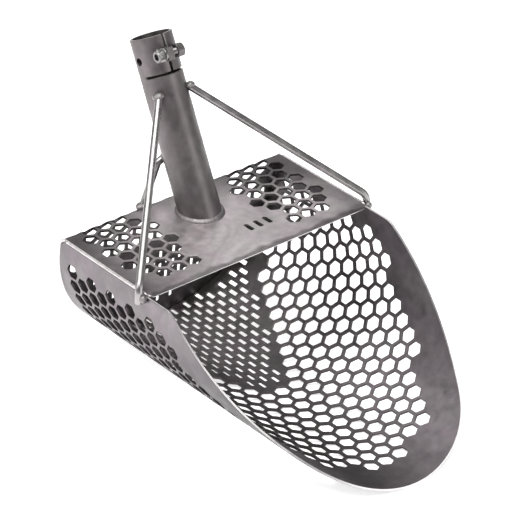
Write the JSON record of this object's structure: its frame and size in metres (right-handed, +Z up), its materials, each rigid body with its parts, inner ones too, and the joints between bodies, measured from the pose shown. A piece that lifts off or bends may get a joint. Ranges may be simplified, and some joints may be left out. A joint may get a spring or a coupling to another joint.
{
  "type": "beach sand scoop",
  "caption": "Welded perforated stainless basket with a scooped mouth, leaning split handle socket, brace rods and a clamp screw.",
  "frame": {"origin": "where the handle socket's axis meets the top face of the plate", "axes": "+X across the scoop to its right, -Y out of the mouth, +Z up, square to the plate"},
  "size_m": [0.2278, 0.3314, 0.2531],
  "materials": {
    "sheet": "bead blasted and lightly brushed",
    "tube": "bead blasted",
    "rod": "bright drawn",
    "weld": "weld bead, brushed",
    "clamp_block": "satin",
    "fastener": "bright"
  },
  "bodies": {
    "scoop": {"basket_shell": "sheet", "top_and_back_plate": "sheet", "handle_socket": "tube", "front_right_brace_rod": "rod", "front_left_brace_rod": "rod", "rear_right_brace_rod": "rod", "rear_left_brace_rod": "rod", "left_seam_weld": "weld", "right_seam_weld": "weld", "rear_seam_weld": "weld", "socket_base_weld": "weld", "front_right_rod_top_weld": "weld", "front_left_rod_top_weld": "weld", "front_right_rod_foot_weld": "weld", "front_left_rod_foot_weld": "weld", "rear_right_rod_top_weld": "weld", "rear_left_rod_top_weld": "weld", "rear_right_rod_foot_weld": "weld", "rear_left_rod_foot_weld": "weld", "clamp_lug_weld": "weld", "clamp_nut_weld": "weld", "clamp_lug": "clamp_block", "clamp_nut": "clamp_block"},
    "washer": {"clamp_washer": "fastener"},
    "screw": {"clamp_screw": "fastener"}
  },
  "joints": [
    {"name": "clamp_screw_travel", "type": "slide", "parent": "scoop", "child": "washer", "axis": [-1, 0, 0], "range_m": [0, 0.004]},
    {"name": "clamp_screw_turn", "type": "hinge", "parent": "washer", "child": "screw", "pos_m": [0, 0.03185, 0.12497], "axis": [-1, 0, 0], "range_deg": [0, 1440]}
  ],
  "couplings": [
    {"joint": "clamp_screw_turn", "follows": "clamp_screw_travel", "rad_per_m": 6283.2}
  ]
}
